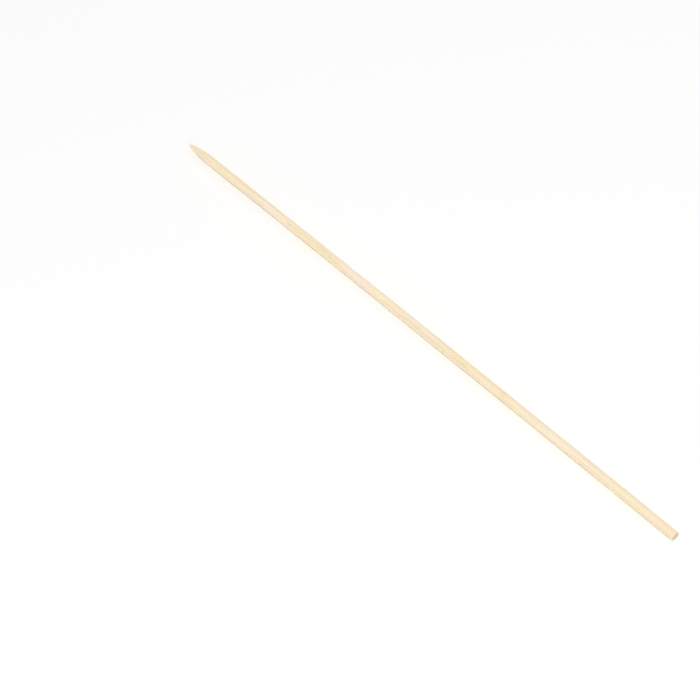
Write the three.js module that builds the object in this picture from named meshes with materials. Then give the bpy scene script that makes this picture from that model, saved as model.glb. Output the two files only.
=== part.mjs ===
// A round bamboo skewer, lying on its side: one stick, ground to a point at one end and sawn square at the other.
// Millimetres, +Z up. The stick runs along X with its point towards -X, and lies on the plane Z = 0.
// The origin is on that plane, under the middle of the stick's bounding box.
import * as THREE from "three";

// The rod, in millimetres
const LENGTH = 300; // from the tip of the point to the sawn end
const DIAMETER = 4; // mean of the section's height and width
const OUT_OF_ROUND = 0.08; // how much wider the section is than it is high, as it lies
const SIDEWAYS_BOW = 0.5; // how far the middle of the stick lies to the side of its two ends

// The ground point, in millimetres
const POINT_LENGTH = 14; // from the tip to where the rod has its full section
const TIP_DIAMETER = 0.5; // of the small blunt end that grinding leaves
const TIP_ROUNDING = 0.12; // around the edge of the blunt end
const TIP_OFFSET = 0.15; // how far to the side of the rod's axis the tip was ground

// The sawn end, in millimetres
const BROKEN_EDGE = 0.12; // radius of the edge around the sawn face

// The culm's joint, which the rounding left as a faint swelling on the upper side, in millimetres
const JOINT_FROM_SAWN_END = 97;
const JOINT_LENGTH = 7; // along the stick
const JOINT_SWELLING = 0.05; // added to the radius at the joint's middle

// How finely the surface is divided
const SIDES = 32;
const POINT_STEPS = 16;
const ROUNDING_STEPS = 3;
const ROD_STEP = 6; // millimetres between two rings of the plain rod
const JOINT_STEP = 1; // millimetres between two rings of the joint

const RADIUS = DIAMETER / 2;
const TIP_RADIUS = TIP_DIAMETER / 2;
const JOINT_MIDDLE = LENGTH - JOINT_FROM_SAWN_END; // from the tip

// The point's half outline, as (radius, distance from the tip): a blunt end with a rounded edge,
// then one parabola that runs smoothly into the rod.
function pointProfile() {
  const rounding = Math.min(TIP_ROUNDING, TIP_RADIUS);
  const edgeStart = new THREE.Vector2(TIP_RADIUS - rounding, 0);
  const edgeCorner = new THREE.Vector2(TIP_RADIUS, 0);
  const edgeEnd = new THREE.Vector2(TIP_RADIUS, rounding);
  const bulge = new THREE.Vector2(RADIUS, (rounding + POINT_LENGTH) / 2);
  const shoulder = new THREE.Vector2(RADIUS, POINT_LENGTH);
  const edge = new THREE.QuadraticBezierCurve(edgeStart, edgeCorner, edgeEnd);
  const flank = new THREE.QuadraticBezierCurve(edgeEnd, bulge, shoulder);
  return [new THREE.Vector2(0, 0), ...edge.getPoints(ROUNDING_STEPS), ...flank.getPoints(POINT_STEPS).slice(1)];
}

// Evenly spaced rings of the rod's full radius, after start and up to end.
function rodRings(start, end, step) {
  const steps = Math.max(1, Math.ceil((end - start) / step));
  const ring = (i) => new THREE.Vector2(RADIUS, THREE.MathUtils.lerp(start, end, i / steps));
  return Array.from({ length: steps }, (_, i) => ring(i + 1));
}

// The rod between the point and the sawn end's edge, with closer rings where the joint swells.
function rodProfile() {
  const jointStart = JOINT_MIDDLE - JOINT_LENGTH / 2;
  const jointEnd = JOINT_MIDDLE + JOINT_LENGTH / 2;
  return [
    ...rodRings(POINT_LENGTH, jointStart, ROD_STEP),
    ...rodRings(jointStart, jointEnd, JOINT_STEP),
    ...rodRings(jointEnd, LENGTH - BROKEN_EDGE, ROD_STEP),
  ];
}

// The edge around the sawn end and its flat face, back to the axis.
function sawnEndProfile() {
  const edge = new THREE.EllipseCurve(
    RADIUS - BROKEN_EDGE,
    LENGTH - BROKEN_EDGE,
    BROKEN_EDGE,
    BROKEN_EDGE,
    0,
    Math.PI / 2,
  );
  return [...edge.getPoints(ROUNDING_STEPS).slice(1), new THREE.Vector2(0, LENGTH)];
}

// How far the middle of the section lies to the side, at a distance from the tip.
function sideways(along) {
  const fromMiddle = (2 * along) / LENGTH - 1;
  const bow = SIDEWAYS_BOW * (1 - fromMiddle ** 2);
  const towardsTip = Math.max(0, 1 - along / POINT_LENGTH);
  return bow - TIP_OFFSET * towardsTip ** 2;
}

// What the joint adds to the radius. Up is 1 on the stick's top line, 0 at its sides and -1 underneath.
function swelling(along, up) {
  const fromJoint = (along - JOINT_MIDDLE) / (JOINT_LENGTH / 2);
  const hump = Math.abs(fromJoint) < 1 ? Math.cos((fromJoint * Math.PI) / 2) ** 2 : 0;
  return JOINT_SWELLING * hump * Math.max(0, up);
}

// Gives a turned stick along X the shape of real bamboo: not quite round and not quite straight.
function shapeAsGrown(geometry) {
  const wide = 1 + OUT_OF_ROUND / (2 * DIAMETER);
  const high = 1 - OUT_OF_ROUND / (2 * DIAMETER);
  const position = geometry.getAttribute("position");
  const vertex = new THREE.Vector3();
  for (let i = 0; i < position.count; i += 1) {
    vertex.fromBufferAttribute(position, i);
    const radius = Math.hypot(vertex.y, vertex.z);
    const up = radius > 0 ? vertex.z / radius : 0;
    const swollen = 1 + swelling(vertex.x, up) / RADIUS;
    const y = vertex.y * wide * swollen + sideways(vertex.x);
    position.setXYZ(i, vertex.x, y, vertex.z * high * swollen);
  }
}

// Lays a geometry on Z = 0 with its bounding box centred over the origin.
function layDown(geometry) {
  geometry.computeBoundingBox();
  const box = geometry.boundingBox;
  const middle = box.getCenter(new THREE.Vector3());
  geometry.translate(-middle.x, -middle.y, -box.min.z);
}

function stickGeometry() {
  const profile = [...pointProfile(), ...rodProfile(), ...sawnEndProfile()];
  const halfSide = Math.PI / SIDES; // so that a side of the section lies underneath, not a corner
  const geometry = new THREE.LatheGeometry(profile, SIDES, halfSide);
  geometry.rotateZ(-Math.PI / 2);
  shapeAsGrown(geometry);
  layDown(geometry);
  geometry.computeVertexNormals();
  return geometry;
}

// Pale bamboo, sanded smooth and not varnished.
function bamboo() {
  return new THREE.MeshStandardMaterial({ color: 0xf2dfb8, roughness: 0.6, metalness: 0 });
}

function bambooStick() {
  const stick = new THREE.Mesh(stickGeometry(), bamboo());
  stick.name = "bamboo_stick";
  return stick;
}

const skewer = new THREE.Group();
skewer.add(bambooStick());

export default skewer;
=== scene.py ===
"""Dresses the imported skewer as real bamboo: grain, point and sawn end, then the floor, light and camera."""
import math

import bpy
import numpy as np
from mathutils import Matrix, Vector


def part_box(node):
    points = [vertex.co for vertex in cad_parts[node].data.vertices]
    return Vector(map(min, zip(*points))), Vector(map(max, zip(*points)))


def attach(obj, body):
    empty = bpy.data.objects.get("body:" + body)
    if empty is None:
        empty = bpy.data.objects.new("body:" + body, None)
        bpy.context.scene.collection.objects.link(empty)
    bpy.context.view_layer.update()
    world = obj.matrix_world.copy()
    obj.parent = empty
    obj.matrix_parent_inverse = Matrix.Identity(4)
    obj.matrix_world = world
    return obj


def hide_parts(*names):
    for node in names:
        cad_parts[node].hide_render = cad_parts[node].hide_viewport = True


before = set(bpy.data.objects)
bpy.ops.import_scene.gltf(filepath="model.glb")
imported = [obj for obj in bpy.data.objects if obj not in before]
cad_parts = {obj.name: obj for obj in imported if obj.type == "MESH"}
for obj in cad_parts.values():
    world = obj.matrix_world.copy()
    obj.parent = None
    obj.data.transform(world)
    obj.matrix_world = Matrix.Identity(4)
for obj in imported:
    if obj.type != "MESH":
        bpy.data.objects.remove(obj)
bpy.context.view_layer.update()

MM = 0.001
NODE = "bamboo_stick"
PIECE = "skewer_bamboo"
stick_low, stick_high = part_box(NODE)

# The rod, in metres, as the frame has it
LENGTH = stick_high[0] - stick_low[0]
ROD_WIDTH = 4.015 * MM
ROD_HEIGHT = 3.936 * MM
ROD_MIDDLE = 1.9705 * MM  # height of the axis above the plane that the stick lies along
SIDEWAYS_BOW = 0.5 * MM
RADIUS = (ROD_WIDTH + ROD_HEIGHT) / 4

# The ground point
POINT_LENGTH = 14 * MM
TIP_RADIUS = 0.24 * MM
TIP_ROUNDING = 0.12 * MM
TIP_OFFSET = 0.15 * MM
GRIND_FACETS = 9  # flats that the grinding belt leaves round the point
GRIND_TWIST = 0.9  # turn of the flats along the point, in radians
GRIND_DEPTH = 0.02 * MM
GRIND_FULL_FROM = 2 * MM  # from the tip, where the flats reach their full depth
GRIND_FADE_FROM = 0.75 * POINT_LENGTH
GRIND_UNEVEN_WAVES = 3  # times round the point that the flats go from deep to shallow
GRIND_UNEVEN_TWIST = 5  # turn of those waves along the point, in radians

# The sawn end
BROKEN_EDGE = 0.12 * MM
CHIP_DEPTH = 0.05 * MM
CHIP_REACH = 0.8 * MM  # along the rod
CHIP_WAVES = 40
CHIP_SHARPNESS = 3  # higher leaves fewer and narrower chips
CHIP_SEED = 5
SAW_DEPTH = 0.03 * MM  # how far the sawn face's hollows lie behind its high spots
SAW_WAVES = 24
SAW_PITCHES = (2, 14)  # radians for each millimetre across the face
SAW_PHASES = (0, 6)  # radians
SAW_SEED = 7

# The culm's joint
JOINT_FROM_SAWN_END = 97 * MM
JOINT_LENGTH = 7 * MM
JOINT_SWELLING = 0.04 * MM

# Strands of fibre that the shaping knives left standing or tore out, along the rod
STRAND_COUNT = 420
STRAND_SEED = 11
STRAND_LENGTHS = (9 * MM, 85 * MM)
STRAND_WIDTHS = (0.07 * MM, 0.26 * MM)
STRAND_DEPTH = 0.034 * MM
STRAND_LEAST_DEPTH = 0.2  # as a share of the depth above
STRAND_BEFORE_TIP = 0.3  # share of a strand's length that may lie before the tip
STRAND_DRIFT = 0.006  # how far a strand strays sideways for each metre along
STRAND_TONE = 0.5  # how much strands differ in tone
STRAND_RISES_BY = 0.25  # share of its length over which a strand begins
STRAND_FADES_FROM = 0.6  # share of its length where it begins to end
DEEPEST = 0.065 * MM
RELIEF_FROM_TIP = (0.3 * MM, 3 * MM)  # the relief begins at the first and is full at the second

# How finely the stick is divided
AROUND = 160
BLUNT_RINGS = 3
ROUNDING_RINGS = 4
POINT_RINGS = 72
POINT_RING_GROWTH = 1.35  # above 1 the point's rings lie closer together at the tip
ROD_RING_STEP = 0.95 * MM
EDGE_RINGS = 6
FACE_RINGS = 34

# The texture map, in shares of its side: the long side in strips, and the sawn end as a disc beside them
STRIPS = 4
STRIP_RIGHT = 0.86
MAP_GAP = 0.006
STRIP_LENGTH = STRIP_RIGHT - 3 * MAP_GAP  # with one gap before it and two after it
STRIP_EDGES = MAP_GAP * STRIPS  # both edges of a strip, as a share of its height
DISC_MIDDLE = (STRIP_RIGHT + (1 - STRIP_RIGHT) / 2, 0.9)
DISC_WIDTH = 1 - STRIP_RIGHT - 2 * MAP_GAP

# The camera, as the photograph was taken: its middle pixel sees the aim point
CAMERA_AZIMUTH = 47.3
CAMERA_ELEVATION = 50.0
CAMERA_DISTANCE = 1.0
CAMERA_SENSOR = 36.0
CAMERA_LENS = 120.65
CAMERA_NEAR = 0.01
CAMERA_AIM = Vector((-0.0105, -0.0286, 0.0))

# Soft studio lamps, all aimed at the origin: name, place, width, watts and colour
LAMPS = (
    ("key", (0.5, -0.95, 2.5), 1.05, 31, (1, 0.996, 0.99)),
    ("end", (1.0, -0.4, 0.45), 0.5, 1.2, (1, 0.995, 0.985)),
    ("fill", (-0.3, 1.0, 0.9), 0.8, 1.7, (1, 1, 1)),
)
SURROUND_STRENGTH = 0.55
WHITE = (1, 1, 1, 1)
FLOOR_REACH = 4.0
FLOOR_ROUGHNESS = 0.9


def share(value, start, end):
    """How far value is from start to end, from 0 to 1, with soft ends."""
    t = np.clip((np.asarray(value, float) - start) / (end - start), 0, 1)
    return t * t * (3 - 2 * t)


def middle_of(along):
    """The middle of the section at a distance from the tip, as y and z."""
    towards_tip = np.clip(1 - along / POINT_LENGTH, 0, 1)
    bow = SIDEWAYS_BOW * (0.5 - (2 * along / LENGTH - 1) ** 2)
    return bow - TIP_OFFSET * towards_tip**2, ROD_MIDDLE


def point_radius(along):
    """The point's outline: one parabola, from the blunt tip to the rod."""
    left = 1 - np.clip(along / POINT_LENGTH, 0, 1)
    return TIP_RADIUS + (RADIUS - TIP_RADIUS) * (1 - left**2)


def rings_of_the_tip():
    """The blunt end and its rounded edge, as distances from the tip and radii."""
    flat = np.linspace(0, TIP_RADIUS - TIP_ROUNDING, BLUNT_RINGS + 1)[1:]
    turn = np.linspace(0, math.pi / 2, ROUNDING_RINGS + 1)[1:]
    start = float(point_radius(TIP_ROUNDING))
    along = np.concatenate([np.zeros(BLUNT_RINGS), TIP_ROUNDING * (1 - np.cos(turn))])
    radius = np.concatenate([flat, start - TIP_ROUNDING * (1 - np.sin(turn))])
    return along, radius


def rings_of_the_side():
    """The point and the rod, up to the sawn end's edge."""
    steps = np.linspace(0, 1, POINT_RINGS + 1)[1:]
    point = TIP_ROUNDING + (POINT_LENGTH - TIP_ROUNDING) * steps**POINT_RING_GROWTH
    end = LENGTH - BROKEN_EDGE
    count = math.ceil((end - POINT_LENGTH) / ROD_RING_STEP)
    rod = np.linspace(POINT_LENGTH, end, count + 1)[1:]
    along = np.concatenate([point, rod])
    return along, point_radius(along)


def rings_of_the_sawn_end():
    """The broken edge, then the face inwards to just short of its middle."""
    turn = np.linspace(0, math.pi / 2, EDGE_RINGS + 1)[1:]
    edge_along = LENGTH - BROKEN_EDGE * (1 - np.sin(turn))
    edge_radius = RADIUS - BROKEN_EDGE * (1 - np.cos(turn))
    face_radius = np.linspace(RADIUS - BROKEN_EDGE, 0, FACE_RINGS + 1)[1:-1]
    face_along = np.full(len(face_radius), LENGTH)
    return np.concatenate([edge_along, face_along]), np.concatenate([edge_radius, face_radius])


def strand_relief(along, angle):
    """Depth and tone of the strands at each place on the side. Tone is below 0 where a strand is darker."""
    rng = np.random.default_rng(STRAND_SEED)
    shortest, longest = STRAND_LENGTHS
    relief = np.zeros(along.shape)
    tone = np.zeros(along.shape)
    for _ in range(STRAND_COUNT):
        length = math.exp(rng.uniform(math.log(shortest), math.log(longest)))
        width = rng.uniform(*STRAND_WIDTHS)
        start = rng.uniform(-STRAND_BEFORE_TIP * length, LENGTH)
        around = rng.uniform(0, 2 * math.pi)
        drift = rng.normal(0, STRAND_DRIFT) / RADIUS
        depth = rng.uniform(STRAND_LEAST_DEPTH, 1) * STRAND_DEPTH
        shade = rng.normal(0, STRAND_TONE)
        near = (along > start) & (along < start + length)
        if not near.any():
            continue
        t = (along[near] - start) / length
        ends = np.minimum(share(t, 0, STRAND_RISES_BY), 1 - share(t, STRAND_FADES_FROM, 1))
        away = angle[near] - around - drift * (along[near] - start)
        away = (away + math.pi) % (2 * math.pi) - math.pi
        here = ends * np.exp(-((away * RADIUS / width) ** 2))
        relief[near] += depth * here
        tone[near] += shade * here
    return np.minimum(relief, DEEPEST), np.clip(tone, -1, 1)


def grinding(along, angle):
    """Depth of the flats that the belt left round the point: none on the rod and none at the tip itself."""
    there = 1 - share(along, GRIND_FADE_FROM, POINT_LENGTH)
    twist = GRIND_TWIST * along / POINT_LENGTH
    flats = np.abs(np.sin(GRIND_FACETS * (angle + twist) / 2))
    uneven_twist = GRIND_UNEVEN_TWIST * along / POINT_LENGTH
    wander = 0.5 + 0.5 * np.sin(GRIND_UNEVEN_WAVES * angle + uneven_twist)
    return GRIND_DEPTH * there * share(along, 0, GRIND_FULL_FROM) * flats * wander


def joint_swelling(along, up):
    """What the joint adds to the radius, on the upper side only."""
    from_joint = (along - (LENGTH - JOINT_FROM_SAWN_END)) / (JOINT_LENGTH / 2)
    hump = np.where(np.abs(from_joint) < 1, np.cos(from_joint * math.pi / 2) ** 2, 0)
    return JOINT_SWELLING * hump * np.clip(up, 0, 1)


def uneven(angle, seed, waves):
    """A smooth random line round the stick, from 0 to 1."""
    rng = np.random.default_rng(seed)
    total = np.zeros(angle.shape)
    for wave in range(1, waves + 1):
        total += rng.normal() * np.cos(wave * angle + rng.uniform(0, 2 * math.pi)) / wave**0.5
    return (total - total.min()) / np.ptp(total)


def side_points(along, radius):
    """Places of the rings' points, one row for each ring, and the strands' tone there."""
    a = np.linspace(0, 2 * math.pi, AROUND, endpoint=False) - math.pi / 2
    s, angle = np.meshgrid(along, a, indexing="ij")
    r = np.repeat(radius[:, None], AROUND, axis=1)
    relief, tone = strand_relief(s, angle)
    up = np.sin(angle)
    r = r - relief * share(s, *RELIEF_FROM_TIP) - grinding(s, angle) + joint_swelling(s, up)
    at_edge = share(s, LENGTH - CHIP_REACH, LENGTH - BROKEN_EDGE)
    r = r - CHIP_DEPTH * at_edge * uneven(angle, CHIP_SEED, CHIP_WAVES) ** CHIP_SHARPNESS
    y, z = middle_of(s)
    wide = ROD_WIDTH / (2 * RADIUS)
    high = ROD_HEIGHT / (2 * RADIUS)
    points = np.stack([s, y + r * wide * np.cos(angle), z + r * high * np.sin(angle)], -1)
    return points, tone


def press_saw_marks(face):
    """Presses the saw's fine hollows into the end face's points, which stay within the stick's length."""
    rng = np.random.default_rng(SAW_SEED)
    y, z = face[..., 1] / MM, face[..., 2] / MM
    rough = np.zeros(y.shape)
    for _ in range(SAW_WAVES):
        turn = rng.uniform(0, math.pi)
        pitch = rng.uniform(*SAW_PITCHES)
        across = y * math.cos(turn) + z * math.sin(turn)
        rough += np.sin(pitch * across + rng.uniform(*SAW_PHASES))
    rough = (rough - rough.min()) / np.ptp(rough)
    face[..., 0] -= SAW_DEPTH * rough


def faces_of(rings):
    """Four-sided faces between neighbouring rings, and a fan of three-sided ones at each end, all outward."""
    i, j = np.meshgrid(np.arange(rings - 1), np.arange(AROUND), indexing="ij")
    k = (j + 1) % AROUND
    corners = [i * AROUND + j, i * AROUND + k, (i + 1) * AROUND + k, (i + 1) * AROUND + j]
    quads = np.stack(corners, -1).reshape(-1, 4).tolist()
    first_pole = rings * AROUND
    last_pole = first_pole + 1
    last = (rings - 1) * AROUND
    steps = [(a, (a + 1) % AROUND) for a in range(AROUND)]
    tip_fan = [(first_pole, b, a) for a, b in steps]
    sawn_fan = [(last_pole, last + a, last + b) for a, b in steps]
    return quads + tip_fan + sawn_fan


def stick_mesh():
    """The stick as one closed mesh, with each ring's distance from the tip and the sawn face's first ring."""
    tip = rings_of_the_tip()
    side = rings_of_the_side()
    sawn = rings_of_the_sawn_end()
    along = np.concatenate([tip[0], side[0], sawn[0]])
    radius = np.concatenate([tip[1], side[1], sawn[1]])
    points, tone = side_points(along, radius)
    face_ring = len(tip[0]) + len(side[0]) + EDGE_RINGS
    press_saw_marks(points[face_ring:])
    y, z = middle_of(np.array([0.0, LENGTH]))
    poles = np.array([[0, y[0], z], [LENGTH - SAW_DEPTH / 2, y[1], z]])
    co = np.concatenate([points.reshape(-1, 3), poles])
    co[:, 0] += stick_low[0]
    mesh = bpy.data.meshes.new(PIECE)
    mesh.from_pydata(co.tolist(), [], faces_of(len(along)))
    mesh.update()
    mesh.shade_smooth()
    tones = mesh.attributes.new("tone", "FLOAT", "POINT")
    tones.data.foreach_set("value", np.concatenate([tone.ravel(), [0, 0]]))
    return mesh, along, face_ring


def map_of(mesh, along, face_ring):
    """Packs the long side as strips, beside a disc for the sawn end."""
    layer = mesh.uv_layers.new(name="OFBake")
    side_count = len(along) * AROUND
    strip = np.minimum((along / LENGTH * STRIPS).astype(int), STRIPS - 1)
    disc_y, disc_z = middle_of(LENGTH)
    uv = np.zeros((len(mesh.loops), 2))
    for face in mesh.polygons:
        corners = list(face.vertices)
        where = [(v // AROUND, v % AROUND) if v < side_count else None for v in corners]
        known = [w for w in where if w]
        lowest = min(w[0] for w in known)
        wraps = max(w[1] for w in known) - min(w[1] for w in known) > AROUND / 2
        for loop, v, w in zip(face.loop_indices, corners, where):
            if lowest >= face_ring - 1:
                co = mesh.vertices[v].co
                u = DISC_MIDDLE[0] + (co.y - disc_y) / (2 * RADIUS) * DISC_WIDTH
                t = DISC_MIDDLE[1] + (co.z - disc_z) / (2 * RADIUS) * DISC_WIDTH
                uv[loop] = u, t
                continue
            ring, column = w if w else (0, known[0][1] + 0.5)
            if wraps and column < AROUND / 2:
                column += AROUND
            s = (along[ring] if w else 0) / LENGTH * STRIPS - strip[lowest]
            height = STRIP_EDGES / 2 + column / AROUND * (1 - STRIP_EDGES)
            uv[loop] = MAP_GAP + s * STRIP_LENGTH, (strip[lowest] + height) / STRIPS
    layer.uv.foreach_set("vector", uv.ravel())


class Nodes:
    """A material's node tree, with short ways to add the kinds of node used here."""

    def __init__(self, name):
        self.material = bpy.data.materials.new(name)
        self.material.use_nodes = True
        self.tree = self.material.node_tree
        self.shader = self.tree.nodes["Principled BSDF"]

    def add(self, kind, inputs=(), **settings):
        node = self.tree.nodes.new(kind)
        for name, value in settings.items():
            setattr(node, name, value)
        for key, value in dict(inputs).items():
            self.put(node.inputs[key], value)
        return node

    def put(self, socket, value):
        """Links an output to a socket, or sets the socket's own value."""
        if isinstance(value, bpy.types.NodeSocket):
            self.tree.links.new(value, socket)
        else:
            socket.default_value = value

    def math(self, operation, a, b=0.0):
        return self.add("ShaderNodeMath", {0: a, 1: b}, operation=operation).outputs[0]

    def between(self, value, low, high, to_low=0.0, to_high=1.0):
        """Maps low to high onto to_low to to_high, with soft ends. High may be the lower one."""
        node = self.add(
            "ShaderNodeMapRange",
            {"Value": value, "From Min": low, "From Max": high, "To Min": to_low, "To Max": to_high},
            interpolation_type="SMOOTHSTEP",
        )
        return node.outputs["Result"]

    def mix(self, factor, a, b):
        node = self.add("ShaderNodeMix", {"Factor": factor}, data_type="RGBA")
        colour_a, colour_b, colour_result = 6, 7, 2  # the mix node's colour sockets
        self.put(node.inputs[colour_a], a)
        self.put(node.inputs[colour_b], b)
        return node.outputs[colour_result]

    def partly(self, amount, factor, a, b):
        """Mixes b into a by the factor, and by no more than the amount."""
        return self.mix(self.math("MULTIPLY", factor, amount), a, b)

    def place(self):
        return self.add("ShaderNodeTexCoord").outputs["Object"]

    def coordinate(self, axis):
        return self.add("ShaderNodeSeparateXYZ", {0: self.place()}).outputs[axis]

    def scaled(self, along, across):
        """The place on the stick, with one unit for every given number of millimetres along and across."""
        scale = (1 / (along * MM), 1 / (across * MM), 1 / (across * MM))
        return self.add("ShaderNodeMapping", {"Vector": self.place(), "Scale": scale}).outputs["Vector"]

    def noise(self, size, detail=2.0, rough=0.5):
        inputs = {"Vector": self.scaled(*size), "Scale": 1.0, "Detail": detail, "Roughness": rough}
        return self.add("ShaderNodeTexNoise", inputs).outputs["Fac"]

    def cells(self, size):
        """Distance to the middle of the nearest cell, and that cell's random colour split in three."""
        cell = self.add("ShaderNodeTexVoronoi", {"Vector": self.scaled(*size), "Scale": 1.0})
        split = self.add("ShaderNodeSeparateColor", {"Color": cell.outputs["Color"]})
        return cell.outputs["Distance"], split.outputs

    def bump(self, height, strength, distance):
        inputs = {"Height": height, "Strength": strength, "Distance": distance}
        bump = self.add("ShaderNodeBump", inputs)
        self.put(self.shader.inputs["Normal"], bump.outputs["Normal"])


def colour(red, green, blue):
    """A screen colour, 0 to 255, as Blender's linear colour."""
    def linear(v):
        v /= 255
        return v / 12.92 if v <= 0.04045 else ((v + 0.055) / 1.055) ** 2.4
    return (linear(red), linear(green), linear(blue), 1.0)


# Colours of bare bamboo and of the floor
CREAM = colour(251, 238, 215)
STRAW = colour(248, 231, 190)
PINKISH = colour(251, 229, 212)
WARM = colour(250, 219, 174)
FIBRE = colour(234, 204, 153)
FLECK = colour(150, 104, 58)
JOINT_LINE = colour(208, 160, 98)
SAWN = colour(229, 204, 156)
SAWN_PALE = colour(240, 219, 176)
SAWN_DOT = colour(194, 152, 100)
FLOOR_WHITE = colour(254, 254, 254)

# The side's patches. Sizes are millimetres along and across the grain, and ranges are of the noise
STRAW_SIZE, STRAW_RANGE = (34, 1.5), (0.38, 0.64)
PINK_SIZE, PINK_RANGE, PINK_MOST = (22, 1.1), (0.47, 0.66), 0.7
WARM_SIZE, WARM_RANGE, WARM_MOST = (27, 0.8), (0.52, 0.7), 0.55

# The side's fibre bundles, fine grain and strands
BUNDLE_SIZE, BUNDLE_CORE = (60, 0.5), (0.45, 0.1)
BUNDLE_CHOICE, BUNDLE_MOST = (0.35, 1.0), (0.05, 0.6)
GRAIN_SIZE, GRAIN_DETAIL, GRAIN_ROUGH = (14, 0.11), 3, 0.6
GRAIN_RANGE, GRAIN_MOST = (0.45, 0.75), 0.35
DARK_STRAND_MOST = 0.55
PALE_STRAND_MOST = 0.5

# The side's flecks, which only a few cells have
FLECK_CELL, FLECK_EDGE = (5, 0.5), (0.3, 0.08)
FLECK_RARE, FLECK_MOST = 0.975, 0.6

# The joint's line and the wider band round it
JOINT_WOBBLE_SIZE, JOINT_WOBBLE = (3, 1.2), 2.5 * MM
LINE_EDGE, LINE_MOST = (0.9 * MM, 0.1 * MM), 0.09
BAND_EDGE, BAND_MOST = (5 * MM, 0.5 * MM), 0.05

# The side's gloss and fine relief
SIDE_GLOSS_RANGE, SIDE_ROUGHNESS = (0.3, 0.7), (0.46, 0.62)
SIDE_GRAIN_HEIGHT, SIDE_BUNDLE_HEIGHT = -0.6, 0.4
SIDE_BUMP_STRENGTH, SIDE_BUMP_DEPTH = 0.8, 0.035 * MM

# The sawn end: fibre bundles cut across, smaller and closer together towards the top
DOT_SIZE, DOT_EDGE = (40, 0.34), (0.42, 0.16)
SMALL_DOT_SIZE, SMALL_DOT_EDGE = (40, 0.21), (0.42, 0.2)
DOT_MOST = 0.55
GRIT_SIZE, GRIT_DETAIL, GRIT_ROUGH, GRIT_RANGE = (0.2, 0.12), 4, 0.65, (0.35, 0.7)
SAWN_ROUGHNESS = 0.85
SAWN_GRIT_HEIGHT, SAWN_DOT_HEIGHT = 0.7, -0.5
SAWN_BUMP_STRENGTH, SAWN_BUMP_DEPTH = 0.8, 0.05 * MM

# How light goes into bare bamboo: red furthest, then green, then blue
LIGHT_SHARE = 0.35
LIGHT_REACH = (1, 0.55, 0.25)
LIGHT_DEPTH = 0.5 * MM


def let_light_in(shader):
    """Lets light a little way into the material."""
    shader.inputs["Subsurface Weight"].default_value = LIGHT_SHARE
    shader.inputs["Subsurface Radius"].default_value = LIGHT_REACH
    shader.inputs["Subsurface Scale"].default_value = LIGHT_DEPTH


def patchy_ground(n):
    """The pale ground, with long soft patches of straw, pink and a warmer tan."""
    straw = n.between(n.noise(STRAW_SIZE), *STRAW_RANGE)
    pink = n.between(n.noise(PINK_SIZE), *PINK_RANGE)
    warm = n.between(n.noise(WARM_SIZE), *WARM_RANGE)
    ground = n.mix(straw, CREAM, STRAW)
    ground = n.partly(PINK_MOST, pink, ground, PINKISH)
    return n.partly(WARM_MOST, warm, ground, WARM)


def bundle_cores(n):
    """Where the fibre bundles run, each as strong as its cell's random colour says."""
    distance, chance = n.cells(BUNDLE_SIZE)
    core = n.between(distance, *BUNDLE_CORE)
    return n.math("MULTIPLY", core, n.between(chance[0], *BUNDLE_CHOICE, *BUNDLE_MOST))


def with_strands(n, base):
    """Tints the modelled strands by the mesh's tone: fibre tan below 0 and cream above."""
    tone = n.add("ShaderNodeAttribute", attribute_name="tone").outputs["Fac"]
    dark = n.math("MAXIMUM", n.math("MULTIPLY", tone, -1.0), 0.0)
    pale = n.math("MAXIMUM", tone, 0.0)
    base = n.partly(DARK_STRAND_MOST, dark, base, FIBRE)
    return n.partly(PALE_STRAND_MOST, pale, base, CREAM)


def with_flecks(n, base):
    distance, chance = n.cells(FLECK_CELL)
    rare = n.math("GREATER_THAN", chance[1], FLECK_RARE)
    spot = n.math("MULTIPLY", n.between(distance, *FLECK_EDGE), rare)
    return n.partly(FLECK_MOST, spot, base, FLECK)


def with_joint(n, base):
    """Adds the joint's faint line, with a wavering edge, and the fainter band round it."""
    wobble = n.math("MULTIPLY", n.math("SUBTRACT", n.noise(JOINT_WOBBLE_SIZE), 0.5), JOINT_WOBBLE)
    joint_x = stick_high[0] - JOINT_FROM_SAWN_END
    off = n.math("ABSOLUTE", n.math("SUBTRACT", n.math("ADD", n.coordinate(0), wobble), joint_x))
    line = n.math("MULTIPLY", n.between(off, *LINE_EDGE), LINE_MOST)
    band = n.math("MULTIPLY", n.between(off, *BAND_EDGE), BAND_MOST)
    return n.mix(n.math("ADD", line, band), base, JOINT_LINE)


def bamboo_material():
    """The rod's side: long fibre bundles in pale ground, a few flecks, and the joint's faint line."""
    n = Nodes("bamboo_side")
    core = bundle_cores(n)
    grain = n.noise(GRAIN_SIZE, GRAIN_DETAIL, GRAIN_ROUGH)
    base = n.mix(core, patchy_ground(n), FIBRE)
    base = n.mix(n.between(grain, *GRAIN_RANGE, 0.0, GRAIN_MOST), base, FIBRE)
    base = with_joint(n, with_flecks(n, with_strands(n, base)))
    n.put(n.shader.inputs["Base Color"], base)
    n.put(n.shader.inputs["Roughness"], n.between(grain, *SIDE_GLOSS_RANGE, *SIDE_ROUGHNESS))
    grain_height = n.math("MULTIPLY", grain, SIDE_GRAIN_HEIGHT)
    bundle_height = n.math("MULTIPLY", core, SIDE_BUNDLE_HEIGHT)
    n.bump(n.math("ADD", grain_height, bundle_height), SIDE_BUMP_STRENGTH, SIDE_BUMP_DEPTH)
    let_light_in(n.shader)
    return n.material


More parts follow.
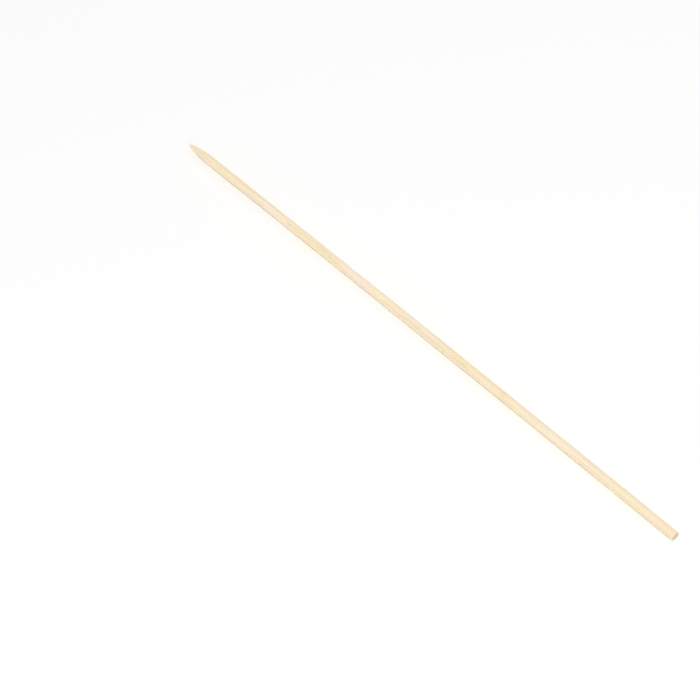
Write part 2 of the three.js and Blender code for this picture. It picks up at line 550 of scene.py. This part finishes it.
def sawn_material():
    """The sawn end: darker ends of fibre bundles in tan ground, closer together towards the top."""
    n = Nodes("bamboo_sawn_end")
    dense = n.between(n.coordinate(2), 0, ROD_HEIGHT)
    distance, _ = n.cells(DOT_SIZE)
    small_distance, _ = n.cells(SMALL_DOT_SIZE)
    small_dots = n.math("MULTIPLY", n.between(small_distance, *SMALL_DOT_EDGE), dense)
    dots = n.math("MAXIMUM", n.between(distance, *DOT_EDGE), small_dots)
    grit = n.noise(GRIT_SIZE, GRIT_DETAIL, GRIT_ROUGH)
    ground = n.mix(n.between(grit, *GRIT_RANGE), SAWN, SAWN_PALE)
    n.put(n.shader.inputs["Base Color"], n.partly(DOT_MOST, dots, ground, SAWN_DOT))
    n.shader.inputs["Roughness"].default_value = SAWN_ROUGHNESS
    grit_height = n.math("MULTIPLY", grit, SAWN_GRIT_HEIGHT)
    dot_height = n.math("MULTIPLY", dots, SAWN_DOT_HEIGHT)
    n.bump(n.math("ADD", grit_height, dot_height), SAWN_BUMP_STRENGTH, SAWN_BUMP_DEPTH)
    let_light_in(n.shader)
    return n.material


def show(name, data):
    """Puts an object that holds the data into the scene."""
    thing = bpy.data.objects.new(name, data)
    bpy.context.scene.collection.objects.link(thing)
    return thing


def make_stick():
    """The dressed stick, in place of the frame's plain one."""
    mesh, along, face_ring = stick_mesh()
    map_of(mesh, along, face_ring)
    mesh.materials.append(bamboo_material())
    mesh.materials.append(sawn_material())
    side_count = len(along) * AROUND
    for face in mesh.polygons:
        first_ring = min(v // AROUND for v in face.vertices if v < side_count)
        face.material_index = 1 if first_ring >= face_ring - 1 else 0
    stick = show(PIECE, mesh)
    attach(stick, "root")
    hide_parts(NODE)


def make_floor():
    """A plain pale floor, wide enough for every view."""
    mesh = bpy.data.meshes.new("floor")
    r = FLOOR_REACH
    mesh.from_pydata([(-r, -r, 0), (r, -r, 0), (r, r, 0), (-r, r, 0)], [], [(0, 1, 2, 3)])
    n = Nodes("floor_pale")
    n.shader.inputs["Base Color"].default_value = FLOOR_WHITE
    n.shader.inputs["Roughness"].default_value = FLOOR_ROUGHNESS
    mesh.materials.append(n.material)
    show("floor", mesh)


def area_light(name, place, width, watts, tint):
    """A round lamp, aimed at the origin."""
    data = bpy.data.lights.new(name, "AREA")
    data.shape = "DISK"
    data.size = width
    data.energy = watts
    data.color = tint
    lamp = show(name, data)
    lamp.location = place
    lamp.rotation_euler = (-Vector(place)).to_track_quat("-Z", "Y").to_euler()


def make_light():
    """A key above the camera's side, lamps past the sawn end and on the far side, and a pale surround."""
    for lamp in LAMPS:
        area_light(*lamp)
    world = bpy.data.worlds.new("surround")
    world.use_nodes = True
    background = world.node_tree.nodes["Background"]
    background.inputs["Color"].default_value = WHITE
    background.inputs["Strength"].default_value = SURROUND_STRENGTH
    bpy.context.scene.world = world
    bpy.context.scene.view_settings.view_transform = "Standard"


def make_camera():
    """The camera at the photograph's viewing angle."""
    data = bpy.data.cameras.new("camera")
    data.sensor_width = CAMERA_SENSOR
    data.lens = CAMERA_LENS
    data.clip_start = CAMERA_NEAR
    a, e = math.radians(CAMERA_AZIMUTH), math.radians(CAMERA_ELEVATION)
    back = Vector((math.sin(a) * math.cos(e), -math.cos(a) * math.cos(e), math.sin(e)))
    camera = show("camera", data)
    camera.location = CAMERA_AIM + back * CAMERA_DISTANCE
    camera.rotation_euler = (-back).to_track_quat("-Z", "Y").to_euler()
    bpy.context.scene.camera = camera


make_camera()
make_stick()
make_floor()
make_light()
